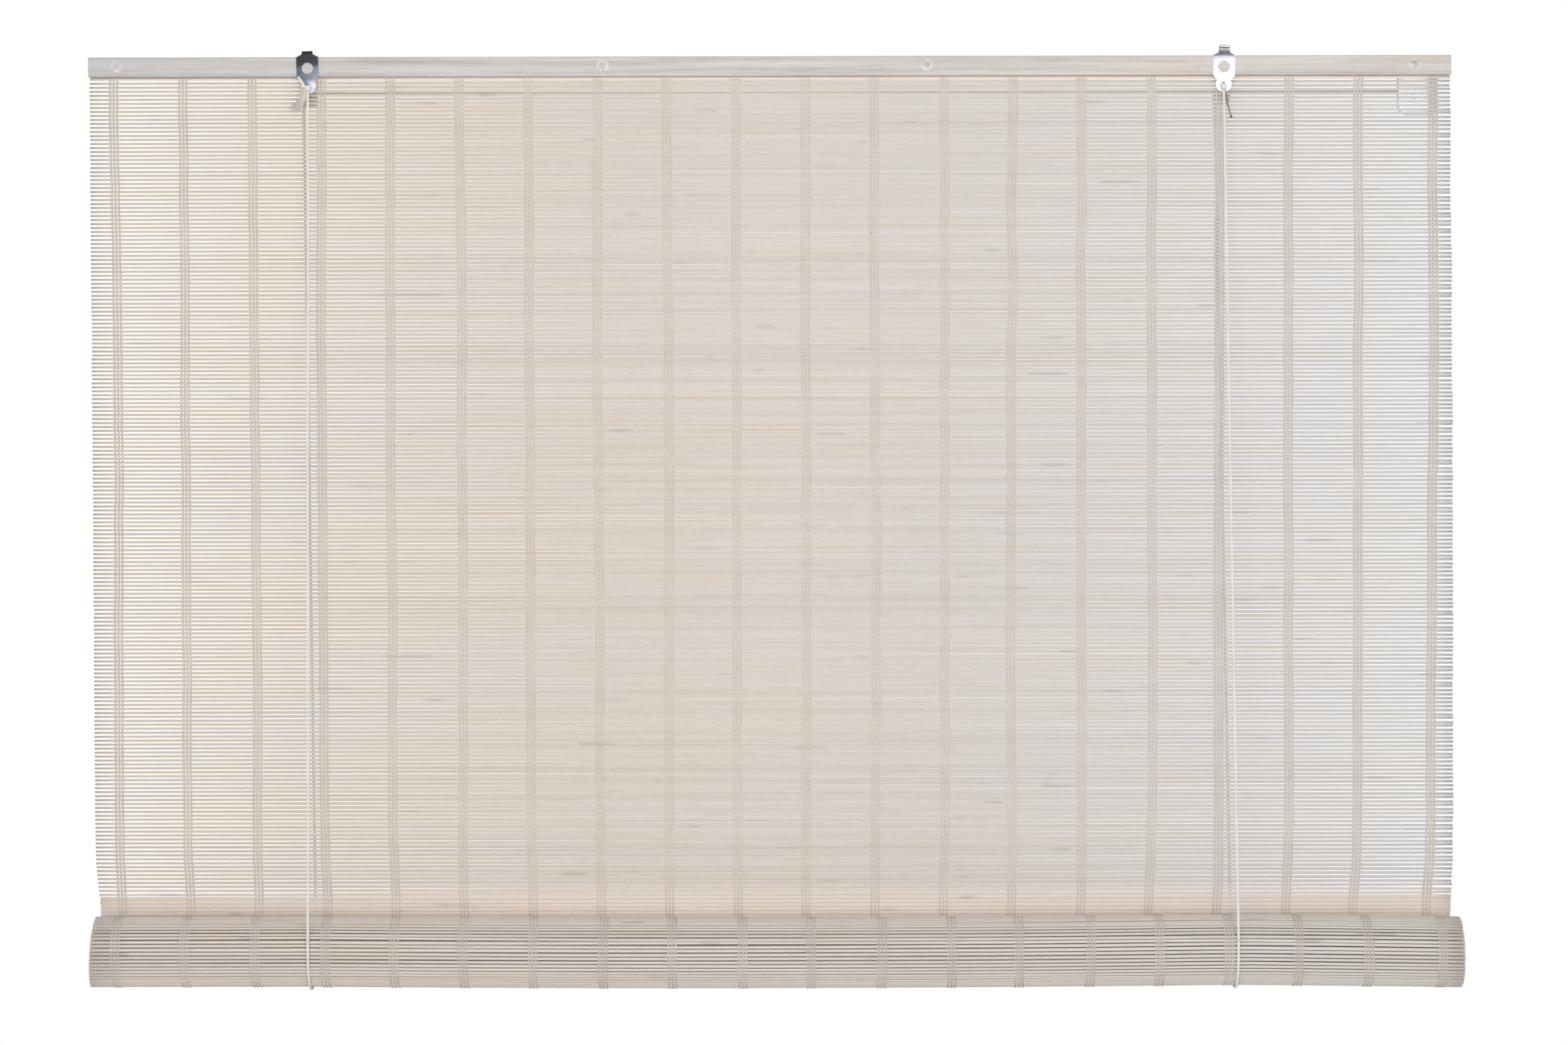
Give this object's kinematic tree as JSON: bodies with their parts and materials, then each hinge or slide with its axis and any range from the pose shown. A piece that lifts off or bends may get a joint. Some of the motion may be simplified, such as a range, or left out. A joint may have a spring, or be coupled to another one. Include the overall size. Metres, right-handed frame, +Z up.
{
  "type": "bamboo roll up blind",
  "caption": "Hanging blind of thin whitewashed bamboo slats on thread bands, with a wooden headrail, folded steel hangers, lift cords and a roll at its foot.",
  "frame": {"origin": "on the top of the headrail, halfway along it, in the plane of the mat", "axes": "+X to the right of a person facing the blind, -Y into the room, +Z up"},
  "size_m": [1.207, 0.0731, 0.8311],
  "materials": {
    "bamboo": "whitewashed matt",
    "whitewashed_wood": "whitewashed matt",
    "thread": "twisted thread",
    "cord": "braided cord",
    "steel": "bright zinc plated",
    "painted_tack": "washed over with white paint",
    "nylon": "plain moulded"
  },
  "bodies": {
    "headrail": {"headrail_front_batten": "whitewashed_wood", "headrail_rear_batten": "whitewashed_wood", "slat_mat": "bamboo", "mat_thread_bands": "thread", "headrail_tack_1": "painted_tack", "headrail_tack_2": "painted_tack", "headrail_tack_3": "painted_tack", "headrail_tack_4": "painted_tack", "hanger_left": "steel", "hanger_right": "steel", "pulley_rivet_left": "steel", "pulley_rivet_right": "steel", "cord_lock_saddle": "steel", "cord_lock_screw_left": "steel", "cord_lock_screw_right": "steel", "cord_lock_wheel_pin": "steel", "cord_lock_pawl_pin": "steel", "lift_cord_left_front": "cord", "lift_cord_left_rear": "cord", "lift_cord_left_rail_run": "cord", "cord_knot_left": "cord", "lift_cord_right_front": "cord", "lift_cord_right_rear": "cord", "lift_cord_right_rail_run": "cord", "cord_knot_right": "cord"},
    "cord_loops": {"lift_cord_left_loop": "cord", "lift_cord_right_loop": "cord"},
    "roll": {"mat_roll": "bamboo", "roll_thread_bands": "thread", "bottom_batten": "whitewashed_wood"},
    "left_pulley": {"pulley_wheel_left": "nylon"},
    "right_pulley": {"pulley_wheel_right": "nylon"},
    "lock_wheel": {"cord_lock_wheel": "nylon"},
    "lock_pawl": {"cord_lock_pawl": "nylon"}
  },
  "joints": [
    {"name": "roll_lift", "type": "slide", "parent": "headrail", "child": "cord_loops", "axis": [0, -0.0366, 0.9993], "range_m": [0, 0.69], "deforming": ["slat_mat", "mat_thread_bands", "lift_cord_left_front", "lift_cord_right_front", "lift_cord_left_rear", "lift_cord_right_rear"]},
    {"name": "roll_turn", "type": "hinge", "parent": "cord_loops", "child": "roll", "pos_m": [0, -0.00556, -0.78692], "axis": [1, 0, 0], "range_deg": [-1080, 0]},
    {"name": "left_pulley_turn", "type": "hinge", "parent": "headrail", "child": "left_pulley", "pos_m": [-0.406, 0.00835, -0.0362], "axis": [0, 1, 0], "continuous": true},
    {"name": "right_pulley_turn", "type": "hinge", "parent": "headrail", "child": "right_pulley", "pos_m": [0.399, 0.00835, -0.0362], "axis": [0, 1, 0], "continuous": true},
    {"name": "lock_wheel_turn", "type": "hinge", "parent": "headrail", "child": "lock_wheel", "pos_m": [0.568, 0.00835, -0.0362], "axis": [0, 1, 0], "continuous": true},
    {"name": "lock_pawl_tilt", "type": "hinge", "parent": "headrail", "child": "lock_pawl", "pos_m": [0.5825, 0.00835, -0.0322], "axis": [0, 1, 0], "range_deg": [-35, 0]}
  ],
  "couplings": [
    {"joint": "roll_turn", "follows": "roll_lift", "rad_per_m": -27.318},
    {"joint": "left_pulley_turn", "follows": "roll_lift", "rad_per_m": 350.88},
    {"joint": "right_pulley_turn", "follows": "roll_lift", "rad_per_m": 350.88},
    {"joint": "lock_wheel_turn", "follows": "roll_lift", "rad_per_m": 350.88}
  ]
}
